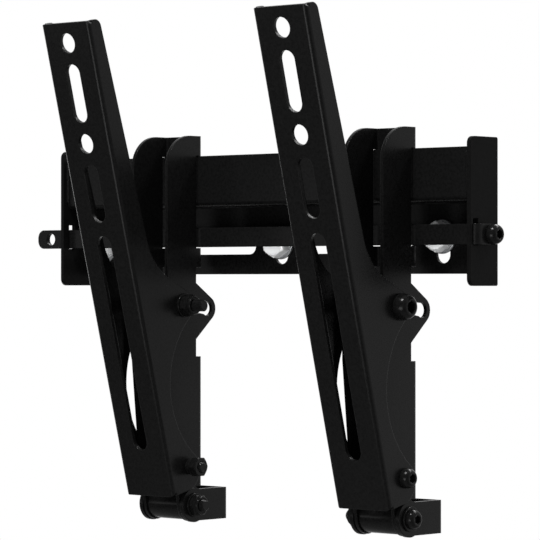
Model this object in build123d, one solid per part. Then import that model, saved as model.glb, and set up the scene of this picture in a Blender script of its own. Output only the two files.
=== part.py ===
from build123d import *
from math import acos, atan2, cos, degrees, hypot, radians, sin, sqrt
import os

# Tilting wall bracket for a flat screen: a folded rail on the wall, two hook brackets that hang
# behind the rail's lip, a tilting arm on each hook, and a bar that locks the hooks to the rail.
# X runs along the wall, Y points into the wall, Z is up, and all sizes are in millimetres.
# The origin is the middle of the rail's back face. Depths from the wall are given as plain
# positive numbers, so a depth of 20 is at Y -20.

# Wall rail, one folded sheet: back plate, shelf, and a lip that stands up in front of the shelf
rail_length = 264.5
rail_back_height = 35.5
rail_reach = 19.8
rail_sheet = 1.6
lip_height = 25.3
fold_radius = 0.8

# Fixing slots in the back plate
long_slot_height = 8.4
long_slot_drop = 3.55
left_slot_inset = 4.75
left_slot_spacing = 13.0
right_slot_spacing = 8.3
right_slot_end_spacing = 14.8
upright_slot_width = 8.4
upright_slot_length = 18.0
upright_slot_drop = 3.75

# Wall bolts and their washers
wall_bolt_shank = 8.0
wall_bolt_across_flats = 13.0
wall_bolt_head_height = 5.6
wall_washer_diameter = 16.4
wall_washer_thickness = 1.5
left_bolt_inset = 5.0
middle_bolt_x = 0.5
middle_bolt_drop = 2.2
right_bolt_inset = 29.25
right_bolt_rise = -0.1

# End plates
end_plate_sheet = 2.0
left_plate_edge = 4.0
right_plate_edge = 1.9
end_plate_height = 69.7
end_plate_rise = 11.4
end_plate_front_radius = 3.4
end_plate_back_radius = 1.0
bar_slot_depth = 4.1
bar_slot_head_room = 2.4

# Security bar
bar_thickness = 2.5
bar_height = 9.7
bar_rise = 0.65
bar_front_depth = 18.6
bar_overhang = 21.5
bar_end_radius = 4.2
bar_bend_radius = 1.0
padlock_hole = 6.3
padlock_hole_inset = 9.4
security_screw_depth = 7.6

# Hook brackets, one folded sheet each: two side plates joined by ties across the back
left_bracket_x = -51.9
right_bracket_x = 86.8
hook_sheet = 1.8
hook_front_depth = 42.0
hook_rise = 10.1
hook_top_radius = 16.5
hook_finger = 12.0
middle_tie_height = 9.8
low_tie_top = -58.95
low_tie_height = 65.2
hook_lean_start = -58.0
hook_taper_start = -105.25
hook_taper_depth = 37.4
ear_root_top = -22.15
ear_root_bottom = -50.25
ear_radius = 6.2

# Tilt: the arm turns on the pivot bolt and its tilt bolt runs in the curved slot of the hook
pivot_depth = 30.0
pivot_height = -113.45
arm_tilt = 14.5
tilt_slot_width = 6.4
tilt_stop_diameter = 7.2
tilt_stop_count = 4
tilt_slot_end_room = 0.2

# Tilting arms, one folded sheet each: a front web with two shaped flanges
arm_length = 239.8
arm_width = 32.4
arm_sheet = 2.0
arm_fold_radius = 0.3
arm_corner_radius = 2.2
pivot_from_bottom = 11.5
pivot_behind_front = 15.0
tilt_bolt_above_pivot = 78.5
tilt_bolt_behind_front = 31.8
flange_top_depth = 8.4
flange_taper = 0.048
flange_top_radius = 4.0
flange_fillet = 29.0
ear_edge_angle = 49.0
boss_radius = 7.0
scallop_radius = 44.8
flange_foot_radius = 10.0

# Screen holes in the arm's web
screen_hole = 9.8
screen_hole_from_top = 10.0
screen_hole_pitch = 50.0
short_slot_width = 9.2
short_slot_length = 29.0
long_screen_slot_start = 106.5
long_screen_slot_end = 23.8

# Bolts through the brackets
tilt_shank = 6.0
tilt_head = 12.8
tilt_head_height = 6.6
tilt_nut_across_flats = 10.0
tilt_nut_height = 6.2
tilt_bolt_end = 6.0
tilt_washer_diameter = 14.0
nut_washer_diameter = 12.0
nut_washer_thickness = 1.2
friction_washer = 1.5
pivot_shank = 5.0
pivot_head = 9.6
pivot_head_height = 4.4
pivot_nut_across_flats = 9.0
pivot_nut_height = 8.0
pivot_bolt_end = 1.2
pivot_washer_diameter = 12.0
foot_shank = 6.0
foot_head = 9.4
foot_head_height = 3.5
foot_nut_across_flats = 10.0
foot_nut_height = 4.6
foot_bolt_end = 2.2
foot_washer_diameter = 12.0
foot_washer_thickness = 1.0
security_shank = 5.0
security_head = 9.8
security_head_height = 4.6
security_screw_length = 8.0
socket_share = 0.38

# Wall feet
foot_depth = 25.0
foot_height = -133.0
foot_sheet = 2.0
foot_web_height = 15.8
foot_corner_radius = 1.6
foot_end_radius = 8.6
hook_foot_radius = 8.2
foot_spacer_diameter = 15.0

# Clearances
lip_gap = 0.15
lip_front_gap = 1.4
hang_gap = 0.15
bar_gap = 0.6
bar_lift = 0.4
bar_slot_gap = 0.12
bar_slot_room = 0.4
foot_side_gap = 0.5
slide_gap = 0.1
running_gap = 0.08
bolt_gap = 0.05
thread_gap = 0.03

# Sizes that follow from the ones above
rail_top = rail_back_height / 2
rail_bottom = -rail_back_height / 2
shelf_underside = rail_top - rail_sheet
lip_top = shelf_underside + lip_height
rail_half = rail_length / 2
right_bolt_x = rail_half - right_bolt_inset
left_long_slot_start = -rail_half + left_slot_inset
left_long_slot_end = middle_bolt_x - upright_slot_width / 2 - left_slot_spacing
right_long_slot_start = middle_bolt_x + upright_slot_width / 2 + right_slot_spacing
right_long_slot_end = right_bolt_x - upright_slot_width / 2 - right_slot_end_spacing
plate_outside = rail_half + end_plate_sheet
bar_bottom = bar_rise - bar_height / 2
bar_top = bar_rise + bar_height / 2
bar_left_end = -plate_outside - bar_overhang
tab_inside = plate_outside + slide_gap
tab_outside = tab_inside + bar_thickness
lip_back_depth = rail_reach - rail_sheet
hook_back_depth = lip_back_depth - lip_gap - hook_sheet
window_depth = max(rail_reach + lip_front_gap, bar_front_depth + bar_gap)
bar_slot_front = bar_front_depth + bar_slot_room
hook_top = lip_top + hook_rise
middle_tie_top = bar_bottom - bar_lift
arm_half = arm_width / 2
arm_inside = arm_half - arm_sheet
hook_half = arm_inside - friction_washer - 2 * slide_gap
hook_inside = hook_half - hook_sheet
hook_width = 2 * hook_half
arm_front = -pivot_depth - pivot_behind_front
arm_bottom = pivot_height - pivot_from_bottom
arm_top = arm_bottom + arm_length
pivot = Vector(0, -pivot_depth, pivot_height)
foot_pin = Vector(0, -foot_depth, foot_height)
tilt_pin = Vector(0, arm_front + tilt_bolt_behind_front, pivot_height + tilt_bolt_above_pivot)
tilt_radius = (tilt_pin - pivot).length
upright_angle = degrees(atan2(tilt_pin.Z - pivot.Z, tilt_pin.Y - pivot.Y))
foot_ear_inside = hook_half + foot_side_gap
foot_ear_outside = foot_ear_inside + foot_sheet


def side_face(*corners):
    """Flat face in the side view, with its corners given as (y, z)."""
    return Plane.YZ * make_face(Polyline(*corners, close=True))


def side_disc(centre, radius):
    """Round face in the side view about the axis through a point."""
    return Plane.YZ * Pos(centre.Y, centre.Z) * Circle(radius)


def across(face, start, end):
    """Solid swept along X from a face in the side view."""
    return Pos(start, 0, 0) * extrude(face, amount=end - start)


def rod(centre, radius, start, end):
    """Round bar along X."""
    return across(side_disc(centre, radius), start, end)


def ring(centre, outer, inner, start, end):
    """Flat ring about an axis along X."""
    return rod(centre, outer, start, end) - rod(centre, inner, start, end)


def hexagon(centre, across_flats, start, end):
    """Six-sided bar along X with a flat at the bottom."""
    face = RegularPolygon(across_flats / 2, 6, major_radius=False, rotation=30)
    return across(Plane.YZ * Pos(centre.Y, centre.Z) * face, start, end)


def tangent_point(start, centre, radius, turn):
    """Point where the line from start touches a circle; turn +1 or -1 picks the side."""
    reach = hypot(start[0] - centre[0], start[1] - centre[1])
    angle = atan2(start[1] - centre[1], start[0] - centre[0]) + turn * acos(radius / reach)
    return (centre[0] + radius * cos(angle), centre[1] + radius * sin(angle))


def channel(width, web_y, leg_y, sheet, bottom, top, fold=fold_radius):
    """Folded channel standing along Z: its web's outer face is at web_y, its legs end at leg_y."""
    half = width / 2
    bore = half - sheet
    bend = fold + sheet
    inward = 1 if leg_y > web_y else -1
    inner_y = web_y + inward * sheet
    outside = ((half, leg_y), (half, web_y), (-half, web_y), (-half, leg_y))
    inside = ((bore, leg_y), (bore, inner_y), (-bore, inner_y), (-bore, leg_y))
    outer = make_face(FilletPolyline(*outside, radius=(0, bend, bend, 0), close=True))
    inner = make_face(FilletPolyline(*inside, radius=(0, fold, fold, 0), close=True))
    return Pos(0, 0, bottom) * extrude(outer - inner, amount=top - bottom)


def dome(centre, radius, height, start):
    """Turned head along +X: a short rim, a shoulder and a flat top."""
    outline = Polyline(
        (0, 0),
        (0, radius),
        (0.25 * height, radius),
        (0.7 * height, 0.85 * radius),
        (height, 0.54 * radius),
        (height, 0),
        close=True,
    )
    return Pos(start, centre.Y, centre.Z) * revolve(make_face(outline), Axis.X)


def button_bolt(centre, shank, head, head_height, start, end, head_at):
    """Bolt along X: domed head with a six-sided socket on the +X side, plain shank."""
    head_end = head_at + head_height
    cap = dome(centre, head / 2, head_height, head_at)
    socket = hexagon(centre, socket_share * head, head_end - 0.5 * head_height, head_end)
    return cap - socket + rod(centre, shank / 2, start, end)


def lock_nut(centre, across_flats, height, bore, start):
    """Hexagon nut along -X from start, with a round collar on its far end."""
    hex_end = start - 0.7 * height
    body = hexagon(centre, across_flats, hex_end, start)
    collar = rod(centre, 0.46 * across_flats, start - height, start)
    return body + collar - rod(centre, bore / 2 + thread_gap, start - height, start)


def collar_nut(centre, across_flats, height, bore, start):
    """Hexagon nut along -X from start, with a round collar on its seat."""
    collar_end = start - 0.45 * height
    collar = rod(centre, 0.5 * across_flats, collar_end, start)
    body = hexagon(centre, across_flats, start - height, collar_end)
    return body + collar - rod(centre, bore / 2 + thread_gap, start - height, start)


def tilted(shape):
    """Shape turned with the arm about the pivot, from upright to its tilted rest."""
    return shape.rotate(Axis((0, pivot.Y, pivot.Z), (1, 0, 0)), arm_tilt)


def make_rail():
    """Folded rail with its fixing slots."""
    outer = fold_radius + rail_sheet
    profile = FilletPolyline(
        (0, rail_bottom),
        (0, rail_top),
        (-lip_back_depth, rail_top),
        (-lip_back_depth, lip_top),
        (-rail_reach, lip_top),
        (-rail_reach, shelf_underside),
        (-rail_sheet, shelf_underside),
        (-rail_sheet, rail_bottom),
        radius=(0, outer, fold_radius, 0, 0, outer, fold_radius, 0),
        close=True,
    )
    rail = across(Plane.YZ * make_face(profile), -rail_half, rail_half)
    slots = []
    long_slots = (
        (left_long_slot_start, left_long_slot_end),
        (right_long_slot_start, right_long_slot_end),
    )
    for start, end in long_slots:
        slots.append(Pos((start + end) / 2, -long_slot_drop) * SlotOverall(end - start, long_slot_height))
    for x in (middle_bolt_x, right_bolt_x):
        upright = SlotOverall(upright_slot_length, upright_slot_width, rotation=90)
        slots.append(Pos(x, -upright_slot_drop) * upright)
    for slot in slots:
        rail -= extrude(Plane.XZ * slot, amount=2 * rail_sheet, both=True)
    return rail


def make_end_plate(side):
    """Flat plate that closes one end of the rail; the bar passes through its slot."""
    edge = right_plate_edge if side > 0 else left_plate_edge
    front = -bar_slot_front - edge
    bottom = end_plate_rise - end_plate_height / 2
    top = end_plate_rise + end_plate_height / 2
    front_round = end_plate_front_radius
    back_round = end_plate_back_radius
    outline = FilletPolyline(
        (front, bottom),
        (0, bottom),
        (0, top),
        (front, top),
        radius=(front_round, back_round, back_round, front_round),
        close=True,
    )
    slot_front = -bar_slot_front
    slot_back = slot_front + bar_slot_depth
    slot_bottom = bar_bottom - bar_slot_gap
    slot_top = bar_top + bar_slot_head_room
    slot = side_face(
        (slot_front, slot_bottom),
        (slot_back, slot_bottom),
        (slot_back, slot_top),
        (slot_front, slot_top),
    )
    face = Plane.YZ * make_face(outline) - slot
    if side > 0:
        face -= side_disc(Vector(0, -security_screw_depth, bar_rise), security_shank / 2 + bolt_gap)
        return across(face, rail_half, plate_outside)
    return across(face, -plate_outside, -rail_half)


def make_bar():
    """Flat bar along the rail; its right end folds back against the right end plate."""
    front = -bar_front_depth
    back = front + bar_thickness
    tab_end = bar_height / 2 - security_screw_depth
    outer = bar_bend_radius + bar_thickness
    plan = FilletPolyline(
        (bar_left_end, front),
        (tab_outside, front),
        (tab_outside, tab_end),
        (tab_inside, tab_end),
        (tab_inside, back),
        (bar_left_end, back),
        radius=(0, outer, 0, 0, bar_bend_radius, 0),
        close=True,
    )
    bar = Pos(0, 0, bar_bottom) * extrude(make_face(plan), amount=bar_height)
    left_corners = bar.edges().filter_by(Axis.Y).group_by(Axis.X)[0]
    bar = fillet(left_corners, bar_end_radius)
    tab_corners = bar.edges().filter_by(Axis.X).group_by(Axis.Y)[-1]
    bar = fillet(tab_corners, bar_end_radius)
    hole = Plane.XZ * Pos(bar_left_end + padlock_hole_inset, bar_rise) * Circle(padlock_hole / 2)
    bar -= extrude(hole, amount=2 * bar_front_depth)
    screw_axis = Vector(0, -security_screw_depth, bar_rise)
    return bar - rod(screw_axis, security_shank / 2 + bolt_gap, tab_inside - 1, tab_outside + 1)


def make_wall_bolt(x, z):
    """Hexagon bolt that holds the rail to the wall, with its end level with the rail's back face."""
    head_at = rail_sheet + wall_washer_thickness
    flats = wall_bolt_across_flats
    six_sided = RegularPolygon(flats / 2, 6, major_radius=False, rotation=30)
    head = extrude(Plane.XZ * Pos(x, z) * six_sided, amount=wall_bolt_head_height)
    head = Pos(0, -head_at, 0) * head
    crown = extrude(Plane.XZ * Pos(x, z) * Circle(0.56 * flats), amount=wall_bolt_head_height)
    crown = Pos(0, -head_at, 0) * crown
    crown = chamfer(crown.edges().group_by(Axis.Y)[0], 0.12 * flats, 0.06 * flats)
    shank = extrude(Plane.XZ * Pos(x, z) * Circle(wall_bolt_shank / 2), amount=head_at + 1)
    return (head & crown) + shank


def make_wall_washer(x, z):
    """Flat washer under a wall bolt's head."""
    face = Circle(wall_washer_diameter / 2) - Circle(wall_bolt_shank / 2 + bolt_gap)
    return Pos(0, -rail_sheet, 0) * extrude(Plane.XZ * Pos(x, z) * face, amount=wall_washer_thickness)


def make_hook():
    """Hook bracket about X 0: plates with an ear, three ties, the lip's slit and the curved tilt slot."""
    edge = -window_depth
    low_tie_bottom = low_tie_top - low_tie_height
    foot_centre = (foot_pin.Y, foot_pin.Z)
    ear_centre = (tilt_pin.Y, tilt_pin.Z)
    plate = Plane.YZ * make_face(
        FilletPolyline(
            (edge, hook_top),
            (-hook_front_depth, hook_top),
            (-hook_front_depth, hook_lean_start),
            (-hook_taper_depth, hook_taper_start),
            tangent_point((-hook_taper_depth, hook_taper_start), foot_centre, hook_foot_radius, 1),
            foot_centre,
            tangent_point((edge, low_tie_bottom), foot_centre, hook_foot_radius, -1),
            (edge, low_tie_bottom),
            radius=(0, hook_top_radius, 0, 0, 0, 0, 0, 0),
            close=True,
        )
    )
    plate += side_disc(foot_pin, hook_foot_radius)
    plate += side_face(
        (edge, ear_root_top),
        tangent_point((edge, ear_root_top), ear_centre, ear_radius, -1),
        ear_centre,
        tangent_point((edge, ear_root_bottom), ear_centre, ear_radius, 1),
        (edge, ear_root_bottom),
    )
    plate += side_disc(tilt_pin, ear_radius)

    slot_arc = CenterArc(
        (pivot.Y, pivot.Z),
        tilt_radius,
        upright_angle - degrees(tilt_slot_end_room / tilt_radius),
        arm_tilt + 2 * degrees(tilt_slot_end_room / tilt_radius),
    )
    plate -= Plane.YZ * SlotArc(slot_arc, tilt_slot_width)
    for stop in range(tilt_stop_count):
        angle = radians(upright_angle + arm_tilt * stop / (tilt_stop_count - 1))
        spot = pivot + Vector(0, tilt_radius * cos(angle), tilt_radius * sin(angle))
        plate -= side_disc(spot, tilt_stop_diameter / 2)
    plate -= side_disc(pivot, pivot_shank / 2 + bolt_gap)
    plate -= side_disc(foot_pin, foot_shank / 2 + bolt_gap)

    hook = across(plate, hook_inside, hook_half) + across(plate, -hook_half, -hook_inside)
    ties = (
        (lip_top - hook_finger, hook_top),
        (middle_tie_top - middle_tie_height, middle_tie_top),
        (low_tie_bottom, low_tie_top),
    )
    for bottom, top in ties:
        hook += channel(hook_width, -hook_back_depth, edge - hook_sheet, hook_sheet, bottom, top)
    slit_back = -(lip_back_depth - lip_gap)
    slit_top = lip_top + hang_gap
    slit_bottom = lip_top - 2 * hook_finger
    slit = side_face(
        (edge, slit_bottom),
        (slit_back, slit_bottom),
        (slit_back, slit_top),
        (edge, slit_top),
    )
    return hook - across(slit, -hook_width, hook_width)


def make_arm():
    """Tilting arm about X 0, drawn upright: a channel trimmed to its side outline, with screen holes."""
    tilt_centre = (tilt_pin.Y, tilt_pin.Z)
    pivot_centre = (pivot.Y, pivot.Z)
    angle = radians(ear_edge_angle)
    ear_touch = (tilt_centre[0] + boss_radius * cos(angle), tilt_centre[1] + boss_radius * sin(angle))
    rise = ear_touch[0] - arm_front - flange_top_depth - flange_taper * (arm_top - ear_touch[1])
    back_along_edge = rise / (sin(angle) - flange_taper * cos(angle))
    ear_corner = (ear_touch[0] - back_along_edge * sin(angle), ear_touch[1] + back_along_edge * cos(angle))

    half_gap = tilt_radius / 2
    bow = sqrt((scallop_radius + boss_radius) ** 2 - half_gap**2)
    down = (pivot - tilt_pin).normalized()
    scallop = (tilt_pin + pivot) * 0.5 + Vector(0, -down.Z, down.Y) * bow
    upper_touch = tilt_pin + (scallop - tilt_pin).normalized() * boss_radius
    lower_touch = pivot + (scallop - pivot).normalized() * boss_radius

    outline = Plane.YZ * make_face(
        FilletPolyline(
            (arm_front, arm_bottom),
            (arm_front, arm_top),
            (arm_front + flange_top_depth, arm_top),
            ear_corner,
            ear_touch,
            (upper_touch.Y, upper_touch.Z),
            (scallop.Y, scallop.Z),
            (lower_touch.Y, lower_touch.Z),
            (pivot.Y + boss_radius, pivot.Z),
            (pivot.Y + boss_radius, arm_bottom),
            radius=(0, 0, flange_top_radius, flange_fillet, 0, 0, 0, 0, 0, flange_foot_radius),
            close=True,
        )
    )
    outline -= side_disc(scallop, scallop_radius)
    outline += side_disc(tilt_pin, boss_radius)
    outline += side_disc(pivot, boss_radius)
    outline -= side_disc(tilt_pin, tilt_shank / 2 + bolt_gap)
    outline -= side_disc(pivot, pivot_shank / 2 + running_gap)

    leg_end = tilt_pin.Y + 2 * boss_radius
    blank = channel(arm_width, arm_front, leg_end, arm_sheet, arm_bottom, arm_top, arm_fold_radius)
    arm = blank & across(outline, -arm_width, arm_width)

    second_hole = screen_hole_from_top + screen_hole_pitch
    short_slot_offset = screen_hole_pitch / 2
    cuts = [
        Pos(0, arm_top - screen_hole_from_top) * Circle(screen_hole / 2),
        Pos(0, arm_top - second_hole) * Circle(screen_hole / 2),
    ]
    for middle in (screen_hole_from_top + short_slot_offset, second_hole + short_slot_offset):
        short_slot = SlotOverall(short_slot_length, short_slot_width, rotation=90)
        cuts.append(Pos(0, arm_top - middle) * short_slot)
    long_length = arm_length - long_screen_slot_end - long_screen_slot_start
    long_middle = long_screen_slot_start + long_length / 2
    cuts.append(Pos(0, arm_top - long_middle) * SlotOverall(long_length, short_slot_width, rotation=90))
    front = Plane((0, arm_front - 1, 0), x_dir=(1, 0, 0), z_dir=(0, -1, 0))
    sheet_outline = RectangleRounded(arm_width, arm_length, arm_corner_radius)
    corners = Rectangle(arm_width + 2, arm_length + 2) - sheet_outline
    cuts.append(Pos(0, arm_top - arm_length / 2) * corners)
    for cut in cuts:
        arm -= extrude(front * cut, amount=-(arm_sheet + 2))
    return arm


def make_foot():
    """Wall foot about X 0: a channel with its web on the wall and round ears on the foot bolt."""
    bottom = foot_pin.Z - foot_web_height / 2
    top = foot_pin.Z + foot_web_height / 2
    outline = Plane.YZ * make_face(
        FilletPolyline(
            (foot_pin.Y, bottom),
            (0, bottom),
            (0, top),
            (foot_pin.Y, top),
            radius=(0, foot_corner_radius, foot_corner_radius, 0),
            close=True,
        )
    )
    outline += side_disc(foot_pin, foot_end_radius)
    outline -= side_disc(foot_pin, foot_shank / 2 + running_gap)
    leg_end = foot_pin.Y - 2 * foot_end_radius
    blank_bottom = foot_pin.Z - foot_end_radius
    blank_top = foot_pin.Z + foot_end_radius
    blank = channel(2 * foot_ear_outside, 0, leg_end, foot_sheet, blank_bottom, blank_top)
    return blank & across(outline, -arm_width, arm_width)


def both_sides(shape):
    """Shape and its mirror image across the bracket's middle, as two separate solids."""
    return shape + mirror(shape, about=Plane.YZ)


def make_bracket():
    """Pieces of one bracket about X 0, with the bolt heads on the +X side."""
    washer_in = hook_half + slide_gap
    nut_seat = -arm_half - nut_washer_thickness
    tilt_end = nut_seat - tilt_nut_height - tilt_bolt_end
    pivot_seat = arm_half + slide_gap
    pivot_end = -pivot_seat - pivot_nut_height - pivot_bolt_end
    foot_seat = foot_ear_outside + slide_gap + foot_washer_thickness
    foot_end = -foot_seat - foot_nut_height - foot_bolt_end

    tilt_washer = ring(
        tilt_pin,
        tilt_washer_diameter / 2,
        tilt_shank / 2 + bolt_gap,
        washer_in + slide_gap,
        arm_inside,
    )
    nut_washer = ring(
        tilt_pin, nut_washer_diameter / 2, tilt_shank / 2 + bolt_gap, nut_seat, -arm_half
    )
    pivot_washer = ring(
        pivot,
        pivot_washer_diameter / 2,
        pivot_shank / 2 + bolt_gap,
        hook_half,
        hook_half + friction_washer,
    )
    foot_washer = ring(
        foot_pin,
        foot_washer_diameter / 2,
        foot_shank / 2 + bolt_gap,
        foot_ear_outside + slide_gap,
        foot_seat,
    )
    tilt_bolt = button_bolt(
        tilt_pin, tilt_shank, tilt_head, tilt_head_height, tilt_end, arm_half, arm_half
    )
    tilt_nut = lock_nut(tilt_pin, tilt_nut_across_flats, tilt_nut_height, tilt_shank, nut_seat)
    foot_bolt = button_bolt(
        foot_pin, foot_shank, foot_head, foot_head_height, foot_end, foot_seat, foot_seat
    )
    foot_nut = lock_nut(foot_pin, foot_nut_across_flats, foot_nut_height, foot_shank, -foot_seat)
    foot_spacer = ring(
        foot_pin, foot_spacer_diameter / 2, foot_shank / 2 + bolt_gap, -hook_inside, hook_inside
    )
    pivot_bolt = button_bolt(
        pivot, pivot_shank, pivot_head, pivot_head_height, pivot_end, pivot_seat, pivot_seat
    )
    pivot_nut = collar_nut(pivot, pivot_nut_across_flats, pivot_nut_height, pivot_shank, -pivot_seat)
    return {
        "hook_bracket": make_hook(),
        "tilt_arm": tilted(make_arm()),
        "tilt_bolt": tilted(tilt_bolt),
        "tilt_nut": tilted(tilt_nut),
        "tilt_nut_washer": tilted(nut_washer),
        "tilt_friction_washers": tilted(both_sides(tilt_washer)),
        "pivot_bolt": pivot_bolt,
        "pivot_nut": pivot_nut,
        "pivot_friction_washers": both_sides(pivot_washer),
        "foot_spacer": foot_spacer,
        "foot_bolt": foot_bolt,
        "foot_nut": foot_nut,
        "foot_washers": both_sides(foot_washer),
        "wall_foot": make_foot(),
    }


def make_security_screw():
    """Button screw that fixes the bar's tab to the right end plate."""
    axis = Vector(0, -security_screw_depth, bar_rise)
    return button_bolt(
        axis,
        security_shank,
        security_head,
        security_head_height,
        tab_outside - security_screw_length,
        tab_outside,
        tab_outside,
    )


pieces = {
    "wall_rail": make_rail(),
    "left_end_plate": make_end_plate(-1),
    "right_end_plate": make_end_plate(1),
    "security_bar": make_bar(),
    "security_screw": make_security_screw(),
}

wall_bolts = {
    "left": (left_long_slot_start + left_bolt_inset, -long_slot_drop),
    "middle": (middle_bolt_x, -middle_bolt_drop),
    "right": (right_bolt_x, right_bolt_rise),
}
for name, (x, z) in wall_bolts.items():
    pieces[name + "_wall_bolt"] = make_wall_bolt(x, z)
    pieces[name + "_wall_washer"] = make_wall_washer(x, z)

for name, piece in make_bracket().items():
    pieces["left_" + name] = Pos(left_bracket_x, 0, 0) * mirror(piece, about=Plane.YZ)
    pieces["right_" + name] = Pos(right_bracket_x, 0, 0) * piece

os.makedirs("parts", exist_ok=True)
for name, piece in pieces.items():
    export_step(piece, "parts/" + name + ".step")
    size = piece.bounding_box().size
    print(f"{name}: {len(piece.solids())} solid, {size.X:.1f} x {size.Y:.1f} x {size.Z:.1f}")
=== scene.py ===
# %% [markdown]
# # A tilting screen bracket
# The real bracket is folded steel sheet with a black powder coat: a rail on the wall, two hooks
# that hang behind the rail's lip, and two arms that tilt on the hooks. Its sheets come ready from
# the CAD model, which stays the measure of every size. This lesson rounds their edges, gives each
# piece its finish, and swaps the plain fasteners for ones with threads, sockets and chamfers.

# %% Load the frame
from math import pi, radians

import bpy
import numpy as np
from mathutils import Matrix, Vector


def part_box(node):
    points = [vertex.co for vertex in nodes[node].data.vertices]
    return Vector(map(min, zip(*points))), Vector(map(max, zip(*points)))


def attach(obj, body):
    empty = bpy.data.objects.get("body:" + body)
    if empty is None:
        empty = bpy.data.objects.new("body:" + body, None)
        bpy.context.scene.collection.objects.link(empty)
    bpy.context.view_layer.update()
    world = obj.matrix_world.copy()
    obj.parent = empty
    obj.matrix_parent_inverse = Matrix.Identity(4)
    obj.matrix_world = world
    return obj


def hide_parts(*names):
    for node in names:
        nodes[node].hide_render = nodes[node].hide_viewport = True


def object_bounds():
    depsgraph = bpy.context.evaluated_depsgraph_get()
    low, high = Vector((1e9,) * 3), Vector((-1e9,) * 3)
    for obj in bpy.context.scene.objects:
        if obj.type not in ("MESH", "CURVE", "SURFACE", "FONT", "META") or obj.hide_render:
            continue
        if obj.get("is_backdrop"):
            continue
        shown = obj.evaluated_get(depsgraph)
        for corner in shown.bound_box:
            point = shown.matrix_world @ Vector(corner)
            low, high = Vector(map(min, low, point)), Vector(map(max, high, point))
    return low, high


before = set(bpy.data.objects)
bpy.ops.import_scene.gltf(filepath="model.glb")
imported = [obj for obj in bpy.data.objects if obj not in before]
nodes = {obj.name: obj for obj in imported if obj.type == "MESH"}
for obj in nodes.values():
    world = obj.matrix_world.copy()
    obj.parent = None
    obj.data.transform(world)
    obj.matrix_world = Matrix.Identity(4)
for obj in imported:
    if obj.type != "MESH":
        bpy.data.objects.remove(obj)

cad_low, cad_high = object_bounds()
mm = 0.001
scene = bpy.context.scene
print("CAD box in mm:", [round(v / mm, 1) for v in (*cad_low, *cad_high)])

# %% [markdown]
# ## The camera
# The photograph was taken with a long lens, level with the rail and about 42 degrees to its right.
# A camera could be nudged by eye until the picture fits. Here its place was worked out from the
# corners and holes that can be measured in the photograph, so only the numbers are left to set.
# The lens follows from the focal length in pixels of a 540 pixel wide picture.

# %% Camera
picture_width = 540
focal_pixels = 3063.7
sensor_width = 36.0
camera_place = (1.0101, -1.1423, -0.02125)
camera_tilt, camera_turn = radians(90.21), radians(41.73)
photo_camera = bpy.data.cameras.new("photo_camera")
photo_camera.sensor_fit = "HORIZONTAL"
photo_camera.sensor_width = sensor_width
photo_camera.lens = sensor_width * focal_pixels / picture_width
camera = bpy.data.objects.new("photo_camera", photo_camera)
camera.location = camera_place
camera.rotation_euler = (camera_tilt, 0, camera_turn)
scene.collection.objects.link(camera)
scene.camera = camera
scene.view_settings.view_transform = "Standard"
print("lens in mm:", round(photo_camera.lens, 1))

# %% [markdown]
# ## Sums in a shader
# A finish is a network of nodes, and wiring them by hand takes four lines for one multiplication.
# A small class that wraps a socket lets a sum be written as a sum: each operator adds a Math node,
# also where the number stands first, as in 1 - mask. Every other node goes through one method,
# which sets the node's settings before its sockets, because some settings change the sockets.

# %% Signal
class Signal:
    """One socket of a shader; arithmetic on it adds Math nodes to the same shader."""

    def __init__(self, tree, socket=None):
        self.tree = tree
        self.socket = socket

    def node(self, kind, settings=None, inputs=None, output=0):
        """Add a node, set its settings, then give each input a value or a link."""
        made = self.tree.nodes.new(kind)
        for name, value in (settings or {}).items():
            setattr(made, name, value)
        for key, value in (inputs or {}).items():
            if isinstance(value, Signal):
                self.tree.links.new(value.socket, made.inputs[key])
            else:
                made.inputs[key].default_value = value
        return Signal(self.tree, made.outputs[output] if made.outputs else None)

    def math(self, operation, first, second):
        """Add a Math node for one operation on two values or links."""
        return self.node("ShaderNodeMath", {"operation": operation}, {0: first, 1: second})

    def __add__(self, other):
        return self.math("ADD", self, other)

    def __sub__(self, other):
        return self.math("SUBTRACT", self, other)

    def __rsub__(self, other):
        return self.math("SUBTRACT", other, self)

    def __mul__(self, other):
        return self.math("MULTIPLY", self, other)

    __radd__ = __add__
    __rmul__ = __mul__


def wired(owner):
    """Empty node tree of a material or world, as a Signal to build on."""
    owner.use_nodes = True
    owner.node_tree.nodes.clear()
    return Signal(owner.node_tree)


print("a Signal can be added, subtracted and multiplied")

# %% [markdown]
# ## The white studio
# The photograph has a pure white background. Brighter lamps would whiten it, but they would also
# wash out the black coat. The world does it instead: rays from the camera, and those that mirror
# the backdrop in metal, meet white of strength 1. The rays that carry soft light meet a lower
# level, and so do those that mirror the room in front, which is where a photographer keeps it dim.

# %% World
ambient_level = 0.45
room_level = 0.15
room_side, wall_side = -0.45, 0.35
studio = bpy.data.worlds.new("studio")
scene.world = studio
board = wired(studio)
seen = board.node("ShaderNodeLightPath", output="Is Camera Ray")
mirrored = board.node("ShaderNodeLightPath", output="Is Glossy Ray")
passed = board.node("ShaderNodeLightPath", output="Is Transmission Ray")
towards = board.node("ShaderNodeTexCoord", output="Generated")
towards_wall = board.node("ShaderNodeSeparateXYZ", inputs={0: towards}, output="Y")
backdrop = board.node(
    "ShaderNodeMapRange",
    {"interpolation_type": "SMOOTHSTEP"},
    {
        "Value": towards_wall,
        "From Min": room_side,
        "From Max": wall_side,
        "To Min": room_level,
        "To Max": 1.0,
    },
)
direct = (1 - ambient_level) * (seen + passed)
level = ambient_level + direct + (backdrop - ambient_level) * mirrored
sky = board.node("ShaderNodeBackground", inputs={"Color": (1, 1, 1, 1), "Strength": level})
board.node("ShaderNodeOutputWorld", inputs={"Surface": sky})
print("soft light from the world:", ambient_level)

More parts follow.
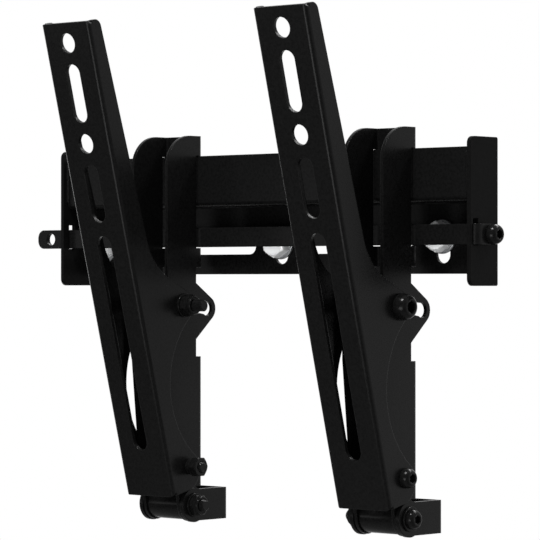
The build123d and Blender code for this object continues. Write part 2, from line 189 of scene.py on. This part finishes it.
# %% [markdown]
# ## Grids become meshes
# Every new piece here is a surface over a grid: rows along a profile, columns around an axis. The
# faces of such a grid are four shifted copies of its index table, so no loop over vertices is
# needed. A turned piece ends in two points on its axis, a ring closes on itself. The sign of the
# enclosed volume tells whether the faces look outwards; if they don't, their order is reversed.

# %% Grid helpers
sharp_degrees = 28


def grid_surface(points, closed):
    """Vertices and faces of a grid of points with shape (rows, columns, 3), closed around.

    The columns always join up. Rows join up too if closed, and otherwise each end gets one more
    point, the mean of its row, with a fan of triangles."""
    rows, columns = points.shape[:2]
    index = np.arange(rows * columns).reshape(rows, columns)
    beside = np.roll(index, -1, axis=1)
    below, beside_below = np.roll(index, -1, axis=0), np.roll(beside, -1, axis=0)
    last = rows if closed else rows - 1
    quads = np.stack([index, beside, beside_below, below], axis=-1)[:last].reshape(-1, 4)
    vertices = points.reshape(-1, 3)
    fans = np.zeros((0, 3), int)
    if not closed:
        poles = points[[0, -1]].mean(axis=1)
        first = np.full(columns, rows * columns)
        fans = np.concatenate([
            np.stack([first, beside[0], index[0]], axis=-1),
            np.stack([first + 1, index[-1], beside[-1]], axis=-1),
        ])
        vertices = np.concatenate([vertices, poles])
    triangles = np.concatenate([quads[:, [0, 1, 2]], quads[:, [0, 2, 3]], fans])
    a, b, c = (vertices[triangles[:, k]] - vertices.mean(axis=0) for k in range(3))
    if np.einsum("ij,ij->", a, np.cross(b, c)) < 0:
        quads, fans = quads[:, ::-1], fans[:, ::-1]
    return vertices, quads.tolist() + fans.tolist()


def new_piece(name, surfaces, finish, body, stands_for=()):
    """One object from one or more grid surfaces, riding on a body, with its finish."""
    starts = np.cumsum([0] + [len(vertices) for vertices, _ in surfaces])
    vertices = np.concatenate([vertices for vertices, _ in surfaces])
    faces = [
        [int(start) + corner for corner in face]
        for start, (_, part) in zip(starts, surfaces)
        for face in part
    ]
    mesh = bpy.data.meshes.new(name)
    mesh.from_pydata(vertices, [], faces)
    mesh.materials.append(finish)
    mesh.shade_smooth()
    mesh.set_sharp_from_angle(angle=radians(sharp_degrees))
    piece = bpy.data.objects.new(name, mesh)
    scene.collection.objects.link(piece)
    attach(piece, body)
    if stands_for:
        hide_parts(*stands_for)
    print(f"{name}: {len(vertices)} points, {len(faces)} faces")


def around(columns):
    """Angles of the grid's columns, once round."""
    return np.linspace(0, 2 * pi, columns, endpoint=False)


def spread(values, columns):
    """Grid that repeats one value per row in every column."""
    return np.repeat(values[:, None], columns, axis=1)


def corners(node):
    """Low and high corner of a CAD node's box, as arrays."""
    return (np.array(corner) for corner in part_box(node))


print("edges of more than", sharp_degrees, "degrees stay sharp")

# %% [markdown]
# ## The floor
# The bracket hangs on a wall, so the floor lies half a metre below it and only catches its shadow.
# A square would show its corners in a view from above. A round sheet that fades out at its rim
# melts into the white world. Camera rays add some white to it, and the shadow stays in the rest.

# %% Floor
floor_height = -0.62
floor_radius = 1.5
fade_start = 0.7
floor_whitening = 0.5
floor_grey = (0.3, 0.3, 0.3, 1)
hub_radius = 0.02
floor_rings, floor_spokes = 24, 96
spokes = around(floor_spokes)
reach = np.linspace(hub_radius, floor_radius, floor_rings)[:, None]
height = np.full((floor_rings, floor_spokes), floor_height)
disc = np.stack([reach * np.cos(spokes), reach * np.sin(spokes), height], axis=-1)
rows = np.arange(floor_rings * floor_spokes).reshape(floor_rings, floor_spokes)
beside = np.roll(rows, -1, axis=1)
cells = np.stack([rows[:-1], rows[1:], beside[1:], beside[:-1]], axis=-1)
floor_mesh = bpy.data.meshes.new("floor")
floor_mesh.from_pydata(disc.reshape(-1, 3), [], cells.reshape(-1, 4).tolist() + [rows[0].tolist()])
floor = bpy.data.objects.new("floor", floor_mesh)
scene.collection.objects.link(floor)
floor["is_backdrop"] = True

floor_paint = bpy.data.materials.new("pale_floor")
board = wired(floor_paint)
place = board.node("ShaderNodeTexCoord", output="Object")
flat = board.node("ShaderNodeVectorMath", {"operation": "MULTIPLY"}, {0: place, 1: (1, 1, 0)})
distance = board.node("ShaderNodeVectorMath", {"operation": "LENGTH"}, {0: flat}, output="Value")
fade = board.node(
    "ShaderNodeMapRange",
    {"interpolation_type": "SMOOTHSTEP"},
    {"Value": distance, "From Min": fade_start, "From Max": floor_radius},
)
seen = board.node("ShaderNodeLightPath", output="Is Camera Ray")
passed = board.node("ShaderNodeLightPath", output="Is Transmission Ray")
paint = board.node("ShaderNodeBsdfDiffuse", inputs={"Color": floor_grey})
white = board.node("ShaderNodeEmission", inputs={"Color": (1, 1, 1, 1), "Strength": 1})
whitening = floor_whitening * (seen + passed)
whitened = board.node("ShaderNodeMixShader", inputs={0: whitening, 1: paint, 2: white})
clear = board.node("ShaderNodeBsdfTransparent")
board.node(
    "ShaderNodeOutputMaterial",
    inputs={"Surface": board.node("ShaderNodeMixShader", inputs={0: fade, 1: whitened, 2: clear})},
)
floor_mesh.materials.append(floor_paint)
print("floor", -floor_height / mm, "mm below the middle of the rail")

# %% [markdown]
# ## The lamps
# Black satin shows its lamps more than its colour: a flat face stays dark, and a rounded edge draws
# a bright line wherever a lamp mirrors in it. One broad lamp would light it all alike. Here a lamp
# high in front gives the plain light, and a soft one low in front draws the line along the arms'
# folds. A box at the left is what the bar and the bolts mirror, and strips at the left and behind
# draw the other edges. The lamps themselves are kept out of the picture.

# %% Lamps
def strip_lamp(name, place, size, power):
    """Rectangular lamp at a place, turned to face the middle of the bracket."""
    light = bpy.data.lights.new(name, "AREA")
    light.shape = "RECTANGLE"
    light.size, light.size_y = size
    light.energy = power
    lamp = bpy.data.objects.new(name, light)
    lamp.location = place
    middle = (cad_low + cad_high) / 2
    lamp.rotation_euler = (middle - lamp.location).to_track_quat("-Z", "Y").to_euler()
    lamp.visible_camera = False
    scene.collection.objects.link(lamp)
    print(f"{name}: {power} W, {size[0]} x {size[1]} m")


# Place in metres, width and height in metres, power in watts.
lamps = {
    "soft_low": ((0.22, -0.8, -0.2), (0.35, 0.3), 2.2),
    "key_above": ((0.15, -0.8, 1.5), (0.35, 0.25), 34),
    "box_left": ((-0.92, -1.03, -0.06), (0.5, 0.2), 0.5),
    "strip_left": ((-1.4, 0.15, 0.15), (0.3, 1.0), 2.2),
    "strip_behind": ((0.2, 0.75, 1.05), (1.4, 0.25), 18),
}
for name, (place, size, power) in lamps.items():
    strip_lamp(name, place, size, power)

# %% [markdown]
# ## Black powder coat
# Powder is sprayed on dry and melted in an oven. It leaves a satin black skin with a fine orange
# peel, and small patches that shine a little more or less. A plain black would look like plastic.
# Three noises of different size do it: patches of a millimetre or two for colour and roughness, the
# peel and a finer grain for the bump. The coat is also thick enough to round every cut edge. A
# Bevel modifier would have to cut new faces along hundreds of narrow facets, so a Bevel node does
# it: near an edge it blends the directions of the faces, and light runs over it as over a rounding.
# The end plates look duller than the rest, so they get the same coat with less shine.

# %% Powder coat
def noise(board, place, scale, detail=2.0, roughness=0.5):
    """Noise between 0 and 1 with features of about 1 / scale metres."""
    return board.node(
        "ShaderNodeTexNoise",
        inputs={"Vector": place, "Scale": scale, "Detail": detail, "Roughness": roughness},
    )


def blend(board, share, first, second):
    """Colour between two colours."""
    colours = {0: share, 6: first, 7: second}
    return board.node("ShaderNodeMix", {"data_type": "RGBA"}, colours, output=2)


def grey(value):
    """Neutral colour."""
    return (value, value, value, 1)


patch_scale, peel_scale, grain_scale = 650, 1300, 4200
peel_share = 0.7


def coat_finish(name, dark, pale, satin, shine, peel_depth, rounding):
    """Powder coat from its two blacks, roughness, specular level, peel depth and edge rounding."""
    material = bpy.data.materials.new(name)
    board = wired(material)
    place = board.node("ShaderNodeTexCoord", output="Object")
    patches = noise(board, place, patch_scale, 4.0, 0.7)
    peel = noise(board, place, peel_scale, 1.0)
    grain = noise(board, place, grain_scale, 2.0, 0.6)
    height = peel * peel_share + grain * (1 - peel_share)
    rounded = board.node("ShaderNodeBevel", {"samples": 8}, {"Radius": rounding})
    bump = board.node(
        "ShaderNodeBump",
        inputs={"Strength": 0.35, "Distance": peel_depth, "Height": height, "Normal": rounded},
    )
    share = (patches - 0.35) * 2.2 + (grain - 0.5) * 0.8
    skin = board.node(
        "ShaderNodeBsdfPrincipled",
        inputs={
            "Base Color": blend(board, share, grey(dark), grey(pale)),
            "Roughness": satin + (patches - 0.5) * 0.16 + (grain - 0.5) * 0.08,
            "Specular IOR Level": shine,
            "Normal": bump,
        },
    )
    board.node("ShaderNodeOutputMaterial", inputs={"Surface": skin})
    return material


edge_rounding = 0.6 * mm
powder = {"dark": 0.0042, "pale": 0.0078, "peel_depth": 0.06 * mm, "rounding": edge_rounding}
black_coat = coat_finish("black_coat", satin=0.28, shine=0.092, **powder)
dull_coat = coat_finish("dull_black_coat", satin=0.34, shine=0.024, **powder)
print("coat:", black_coat.name, "with edges rounded to", edge_rounding / mm, "mm")

# %% [markdown]
# ## The folded sheets
# The rail, its end plates, the hooks, the arms, the feet and the bar are real folded sheets, and
# the CAD model has their folds, slots and stops, with smooth shading on every curve. They could be
# rebuilt here, but then two models would have to agree. They are used as they are and only painted.

# %% Sheets
sheet_names = ["wall_rail", "left_end_plate", "right_end_plate", "security_bar"]
for side in ("left", "right"):
    sheet_names += [f"{side}_{part}" for part in ("hook_bracket", "tilt_arm", "wall_foot")]


def paint_node(name, finish):
    """Give a CAD node one finish."""
    mesh = nodes[name].data
    mesh.materials.clear()
    mesh.materials.append(finish)


for name in sheet_names:
    paint_node(name, dull_coat if "plate" in name else black_coat)
print(len(sheet_names), "sheets painted")

# %% [markdown]
# ## Blackened steel, zinc and nylon
# The bolts and nuts that hold the bracket together are blackened steel, a little glossier than the
# coat. The three bolts into the wall are zinc plated and nearly white. Their washers get a much
# darker zinc, which is painted shade for the shade they sit in under the rail's shelf.
# The friction washers between arm and hook are black nylon. Each gets its own small unevenness:
# flecks where steel was turned, a faint frost on the zinc, a dull skin on the nylon.

# %% Fastener finishes
frost_scale = 5200
frost_depth = 0.03 * mm


def turned_finish(name, dark, pale, gloss, metal, shine, fleck):
    """Turned or plated metal, or nylon, from its two colours, roughness, share of bare metal,
    specular level and flecks per metre: flecks vary colour and gloss, a fine grain the surface."""
    material = bpy.data.materials.new(name)
    board = wired(material)
    place = board.node("ShaderNodeTexCoord", output="Object")
    flecks = noise(board, place, fleck, 3.0, 0.65)
    grain = noise(board, place, frost_scale, 2.0)
    bump = board.node(
        "ShaderNodeBump",
        inputs={"Strength": 0.1, "Distance": frost_depth, "Height": grain * 0.6 + flecks * 0.4},
    )
    skin = board.node(
        "ShaderNodeBsdfPrincipled",
        inputs={
            "Base Color": blend(board, (flecks - 0.3) * 2.2, dark, pale),
            "Roughness": gloss + (flecks - 0.5) * 0.14 + (grain - 0.5) * 0.05,
            "Metallic": metal,
            "Specular IOR Level": shine,
            "Normal": bump,
        },
    )
    board.node("ShaderNodeOutputMaterial", inputs={"Surface": skin})
    return material


blackened = turned_finish(
    "blackened_steel", grey(0.003), grey(0.008), gloss=0.21, metal=0.0, shine=0.09, fleck=900
)
bright, brightest = (0.92, 0.93, 0.94, 1), (0.97, 0.98, 0.98, 1)
zinc = turned_finish(
    "zinc_plating", bright, brightest, gloss=0.34, metal=0.15, shine=0.5, fleck=700
)
# The washers' zinc is painted darker than the bolts': painted shade for the shade under the shelf.
painted_shade_pale, painted_shade_dark = (0.50, 0.51, 0.52, 1), (0.38, 0.39, 0.40, 1)
zinc_painted_shade = turned_finish("zinc_painted_shade", painted_shade_dark, painted_shade_pale, gloss=0.4, metal=0.9, shine=0.5, fleck=700)
nylon = turned_finish(
    "black_nylon", grey(0.006), grey(0.012), gloss=0.5, metal=0.0, shine=0.3, fleck=400
)
print("finishes:", blackened.name, zinc.name, zinc_painted_shade.name, nylon.name)

# %% [markdown]
# ## Button bolts
# Each bracket is held by three bolts with domed heads and a hexagon socket, and one more fixes the
# bar. A bolt could be put together from a head, a socket cut and a screw thread. It is simpler as
# one turned surface: a profile runs from the socket's floor over the dome and down the shank, the
# socket's rows take a hexagon's radius, and the thread's rows swing in and out with the angle.

# %% Button bolt surface
x_axis, y_axis, z_axis = np.eye(3)
steps_per_pitch = 8
thread_depth = 0.6


def hexagon_radius(angle, across_flats):
    """Distance from the middle to a hexagon's side: half the width over the cosine of the angle
    from the nearest flat's middle. A flat looks along angle 0."""
    turn = (angle + pi / 6) % (pi / 3) - pi / 6
    return across_flats / 2 / np.cos(turn)


def turned(axial, radius, origin, axis, across, up, angle):
    """Grid of points at a distance along an axis and a radius around it, both arrays by row."""
    spin = across * np.cos(angle)[:, None] + up * np.sin(angle)[:, None]
    return origin + axial[..., None] * axis + radius[..., None] * spin


def button_bolt(origin, axis, head, height, socket, shank, length, pitch, threaded):
    """Bolt whose seat is at origin and whose head points along axis.

    Going down the profile: the socket's floor, its six walls, the flat ring, a quarter ellipse for
    the dome, the rim, the underside, the plain shank, the thread and its chamfered end. On the
    thread the radius falls by a triangle wave of the height in pitches plus the share of a turn."""
    columns = 72
    angle = around(columns)
    arc = np.linspace(0, pi / 2, 14)
    top, rim, depth = 0.27 * head, 0.14 * height, 0.55 * height
    rounding = 0.03 * head
    steps = np.arange(0, threaded - 0.5 * pitch, pitch / steps_per_pitch)
    tail = -length + 0.5 * pitch
    axial = np.concatenate([
        [height - depth - 0.1 * socket, height - depth, 0.95 * height, height],
        rim + (height - rim) * np.cos(arc),
        [rounding, 0.3 * rounding, 0.0, 0.0, -0.02 * length, -length + threaded],
        -length + threaded - steps,
        [tail, -length],
    ])
    flat_ring = 0.62 * socket
    radius = np.concatenate([
        [0.15 * socket, 0, 0, flat_ring],
        top + (head / 2 - top) * np.sin(arc),
        [head / 2, head / 2 - 0.3 * rounding, head / 2 - rounding, shank / 2, shank / 2, shank / 2],
        np.full(len(steps), shank / 2),
        [shank / 2 - 0.35 * pitch, shank / 2 - 0.75 * pitch],
    ])
    around_axis = spread(radius, columns)
    around_axis[1:3] = hexagon_radius(angle, socket)
    first = len(radius) - len(steps) - 2
    phase = (axial[first:first + len(steps), None] / pitch + angle / (2 * pi)) % 1
    onset = np.clip(np.arange(len(steps)) / steps_per_pitch, 0, 1)[:, None]
    wave = np.abs(2 * phase - 1)
    around_axis[first:first + len(steps)] -= thread_depth * pitch * onset * wave
    points = turned(spread(axial, columns), around_axis, origin, axis, y_axis, z_axis, angle)
    return grid_surface(points, closed=False)


print("a hexagon's corner is at", round(hexagon_radius(pi / 6, 2.0), 3), "times its flat")

# %% [markdown]
# The CAD box of each bolt gives its axis, its head's width and where it ends, so only what a box
# can't tell is written here: the head's height, the shank, the pitch and the length of the thread.
# The left bracket is a mirror image of the right one, so its heads point the other way.

# %% Button bolts
# Head's height, shank, pitch and thread's length in mm, then the body it rides on.
bolt_sizes = {
    "tilt_bolt": (6.6, 6.0, 1.0, 13.4, "arm"),
    "pivot_bolt": (4.4, 5.0, 0.8, 9.4, "hook"),
    "foot_bolt": (3.5, 6.0, 1.0, 8.0, "hook"),
}
screw_sizes = (4.6, 5.0, 0.8, 5.6)
socket_share = 0.40
sides = {"left": -1, "right": 1}


def bolt_from_box(node, sign, height, shank, pitch, threaded):
    """Button bolt in the place of a CAD node that lies along X."""
    low, high = corners(node)
    head = high[2] - low[2]
    end, seat = (low[0], high[0] - height) if sign > 0 else (high[0], low[0] + height)
    origin = np.array([seat, (low[1] + high[1]) / 2, (low[2] + high[2]) / 2])
    length = abs(seat - end)
    socket = socket_share * head
    return button_bolt(
        origin, sign * x_axis, head, height, socket, shank, length, pitch, threaded
    )


for side, sign in sides.items():
    for part, (*sizes, body) in bolt_sizes.items():
        node = f"{side}_{part}"
        surface = bolt_from_box(node, sign, *(size * mm for size in sizes))
        rider = f"{side}_{body}"
        new_piece(f"{node}_turned", [surface], blackened, rider, [node])
node = "security_screw"
surface = bolt_from_box(node, 1, *(size * mm for size in screw_sizes))
new_piece(f"{node}_turned", [surface], blackened, "locking_bar", [node])

# %% [markdown]
# ## Lock nuts
# A lock nut is a hexagon with a round collar that grips a nylon ring, so it doesn't shake loose.
# Its corners are turned off at about 30 degrees, which leaves a curved line on each flat. That line
# needn't be drawn: the radius is simply the smaller of the hexagon's and a cone's, row by row.

# %% Lock nut surface
chamfer_slope = 1.73


def lock_nut(origin, axis, flats, height, bore, turn, hexagon_share):
    """Nut whose seat is at origin, standing along axis, as a ring that closes on itself.

    Going round the profile: up the outside of the hexagon, where the radius is the least of the
    hexagon's and the two chamfer cones', over the shoulder to the collar, over its rounded crown,
    down to the nylon ring and back through the bore."""
    columns = 96
    angle = around(columns)
    hexagon_top = hexagon_share * height
    rise = np.concatenate([
        np.linspace(0, 0.16, 9), np.linspace(0.24, 0.76, 4), np.linspace(0.84, 1.0, 9)
    ]) * hexagon_top
    cone = 0.475 * flats + chamfer_slope * np.minimum(rise, hexagon_top - rise)
    hexagon = np.minimum(hexagon_radius(angle - turn, flats)[None, :], cone[:, None])
    arc = np.linspace(0, pi / 2, 7)
    crown = 0.12 * height
    collar = 0.45 * flats
    axial = np.concatenate([
        rise,
        [hexagon_top + 0.02 * height],
        height - crown + crown * np.sin(arc),
        [height, 0.94 * height, 0.94 * height, 0.05 * height, 0.0],
    ])
    radius = np.concatenate([
        np.zeros(len(rise)),
        [collar],
        collar - crown + crown * np.cos(arc),
        [0.36 * flats, 0.35 * flats, bore, bore, bore + 0.05 * height],
    ])
    grid = spread(radius, columns)
    grid[:len(rise)] = hexagon
    points = turned(spread(axial, columns), grid, origin, axis, y_axis, z_axis, angle)
    return grid_surface(points, closed=True)


print("the chamfer runs", chamfer_slope, "mm outwards for each mm along the axis")

# %% [markdown]
# The nuts sit on the far side from the heads. Their axis is the bolt's, and their seat is the end
# of their own box that faces the bracket. The tilt nuts turn with the arms, so their flats lean by
# the arms' rest angle. The pivot nuts are put on the other way round, collar first.

# %% Lock nuts
rest_tilt = radians(14.5)
# Width across flats and bore in mm, body, bolt, lean, hexagon's share of the height, collar first.
nut_sizes = {
    "tilt_nut": (10.0, 6.0, "arm", "tilt_bolt", rest_tilt, 0.70, False),
    "pivot_nut": (9.0, 5.0, "hook", "pivot_bolt", 0.0, 0.55, True),
    "foot_nut": (10.0, 6.0, "hook", "foot_bolt", 0.0, 0.70, False),
}
for side, sign in sides.items():
    for part, (flats, bore, body, bolt, lean, hexagon_share, flipped) in nut_sizes.items():
        node = f"{side}_{part}"
        low, high = corners(node)
        bolt_low, bolt_high = corners(f"{side}_{bolt}")
        centre = (bolt_low + bolt_high) / 2
        outward = sign if flipped else -sign
        seat = low[0] if outward > 0 else high[0]
        origin = np.array([seat, centre[1], centre[2]])
        axis, height, turn = outward * x_axis, high[0] - low[0], lean + pi / 2
        surface = lock_nut(origin, axis, flats * mm, height, bore / 2 * mm, turn, hexagon_share)
        rider = f"{side}_{body}"
        new_piece(f"{node}_turned", [surface], blackened, rider, [node])

# %% [markdown]
# ## Washers and spacer tubes
# A washer is stamped from sheet, so one edge is rounded by the punch, and the tube on the foot bolt
# has turned ends. Both are the same surface: a rectangle with rounded corners carried once round
# the axis. The corner radius is all that tells a thin washer from a tube.

# %% Rings
def ring_profile(inner, outer, start, end, rounding):
    """Rows of a rectangle with four rounded corners, as arrays along the axis and from it."""
    quarter = np.linspace(0, pi / 2, 6)
    angle = np.concatenate([quarter, quarter + pi / 2, quarter + pi, quarter + 1.5 * pi])
    near, far = start + rounding, end - rounding
    inside, outside = inner + rounding, outer - rounding
    middle_along = np.repeat([far, near, near, far], len(quarter))
    middle_out = np.repeat([outside, outside, inside, inside], len(quarter))
    return middle_along + rounding * np.cos(angle), middle_out + rounding * np.sin(angle)


def ring(origin, axis, across, up, inner, outer, start, end, rounding):
    """Ring around an axis through origin: the rounded rectangle turned once round."""
    columns = 72
    profile = ring_profile(inner, outer, start, end, rounding)
    axial, radius = (spread(values, columns) for values in profile)
    points = turned(axial, radius, origin, axis, across, up, around(columns))
    return grid_surface(points, closed=True)


def rings_along_x(node, bore, rounding, thickness=None):
    """Ring in a CAD node's box; with a thickness, a pair of rings at the two ends of the box."""
    low, high = corners(node)
    origin = np.array([0, (low[1] + high[1]) / 2, (low[2] + high[2]) / 2])
    outer = (high[2] - low[2]) / 2
    spans = [(low[0], high[0])]
    if thickness:
        spans = [(low[0], low[0] + thickness), (high[0] - thickness, high[0])]
    return [
        ring(origin, x_axis, y_axis, z_axis, bore, outer, start, end, rounding)
        for start, end in spans
    ]


print("rows of a ring's profile:", len(ring_profile(1, 2, 0, 1, 0.1)[0]))

# %% Washers on the brackets
# Bore's radius, edge rounding and, for a pair, one ring's thickness in mm, body, finish, slot.
ring_sizes = {
    "tilt_nut_washer": (3.02, 0.3, None, "arm", blackened, "black_fastener"),
    "foot_washers": (3.02, 0.28, 1.0, "hook", blackened, "black_fastener"),
    "tilt_friction_washers": (3.02, 0.35, 1.5, "arm", nylon, "nylon"),
    "pivot_friction_washers": (2.52, 0.35, 1.5, "hook", nylon, "nylon"),
    "foot_spacer": (3.02, 1.0, None, "hook", blackened, "black_coat"),
}
for side in sides:
    for part, (bore, rounding, thickness, body, finish, slot) in ring_sizes.items():
        node = f"{side}_{part}"
        thick = thickness * mm if thickness else None
        surfaces = rings_along_x(node, bore * mm, rounding * mm, thick)
        new_piece(f"{node}_turned", surfaces, finish, f"{side}_{body}", [node])

# %% [markdown]
# ## Wall bolts
# The zinc bolts have hexagon heads with a turned top: a flat disc, a chamfer that cuts the corners,
# and the six flats. As on the nuts, the chamfer is the smaller of two radii. The head points out of
# the wall, so its axis runs along -Y.

# %% Wall bolt surface
def wall_bolt(origin, flats, height, shank, length):
    """Hexagon bolt with its seat at origin: the slightly dished top, the chamfer cone against the
    hexagon, the washer face and the shank."""
    columns = 96
    angle = around(columns)
    rise = np.concatenate([np.linspace(1.0, 0.78, 11), np.linspace(0.7, 0.0, 5)]) * height
    cone = 0.47 * flats + chamfer_slope * (height - rise)
    hexagon = np.minimum(hexagon_radius(angle, flats)[None, :], cone[:, None])
    dish = np.array([0.96, 0.96, 0.99]) * height
    axial = np.concatenate([dish, rise, [0.0, -0.8 * length, -length]])
    radius = np.concatenate([
        [0.1 * flats, 0.36 * flats, 0.40 * flats],
        np.zeros(len(rise)),
        [shank / 2, shank / 2, 0.42 * shank],
    ])
    grid = spread(radius, columns)
    grid[len(dish):len(dish) + len(rise)] = hexagon
    points = turned(spread(axial, columns), grid, origin, -y_axis, x_axis, z_axis, angle)
    return grid_surface(points, closed=False)


print("wall bolts share the nuts' chamfer slope:", chamfer_slope)

# %% Wall bolts and their washers
head_height = 5.6 * mm
wall_shank = 8.0 * mm
washer_bore, washer_rounding = 4.02 * mm, 0.4 * mm
for position in ("left", "middle", "right"):
    node = f"{position}_wall_bolt"
    low, high = corners(node)
    centre = (low + high) / 2
    origin = np.array([centre[0], low[1] + head_height, centre[2]])
    surface = wall_bolt(origin, high[0] - low[0], head_height, wall_shank, high[1] - origin[1])
    new_piece(f"{node}_turned", [surface], zinc, "rail", [node])
    node = f"{position}_wall_washer"
    low, high = corners(node)
    outer = (high[0] - low[0]) / 2
    origin = np.array([centre[0], 0, centre[2]])
    # The washers take the darker zinc, which is painted shade.
    surface = ring(
        origin, y_axis, x_axis, z_axis, washer_bore, outer, low[1], high[1], washer_rounding
    )
    new_piece(f"{node}_turned", [surface], zinc_painted_shade, "rail", [node])

# %% [markdown]
# ## Weld beads
# The end plates are welded to the rail, and the coat runs over the weld. The photograph shows the
# bead as a bright line beside the lip. A weld is a row of overlapping drops: here it is a round bar
# whose radius ripples along its length and goes to nothing at both ends. It is sunk in the corner,
# so that only the part towards the room shows.

# %% Weld beads
drop_length = 0.9 * mm
ripple_share, drop_slant = 0.09, 0.9


def weld_bead(corner, start, end, radius):
    """Bead along Z in a corner given by X and Y: a circle carried along the line, its radius a
    ripple times the root of the distance from the nearer end."""
    columns = 20
    angle = around(columns)
    length = end - start
    along = (1 - np.cos(np.linspace(0, pi, 64)[1:-1])) / 2
    ends = np.minimum(1, np.sqrt(np.minimum(along, 1 - along) * length / radius))
    drops = along[:, None] * length / drop_length * 2 * pi
    ripple = 1 + ripple_share * np.sin(drops + drop_slant * np.cos(angle))
    out = radius * ends[:, None] * ripple
    height = spread(start + along * length, columns)
    origin = np.array([corner[0], corner[1], 0])
    points = turned(height, out, origin, z_axis, x_axis, y_axis, angle)
    return grid_surface(points, closed=False)


rail_low, rail_high = corners("wall_rail")
bead = 1.1 * mm
inward = 0.25 * bead
back_plate = -1.6 * mm
# Each run's corner along Y and its two ends along Z.
bead_runs = [
    (rail_low[1], 19 * mm, 40 * mm),
    (back_plate, -16.5 * mm, -9.5 * mm),
    (back_plate, 3 * mm, 13 * mm),
]
for side, x in (("left", rail_low[0] + inward), ("right", rail_high[0] - inward)):
    beads = [weld_bead((x, y), start, end, bead) for y, start, end in bead_runs]
    new_piece(f"{side}_weld", beads, black_coat, "rail")

# %% [markdown]
# ## Sizes and the end
# Nothing in this file should make the bracket bigger than its CAD model. The last line prints, in
# mm, how far each side of the box of all rendered pieces lies from the CAD box, low corner first.

# %% Sizes
low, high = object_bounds()
growth = [round((b - a) / mm, 2) for a, b in zip((*cad_low, *cad_high), (*low, *high))]
print("growth in mm:", growth)
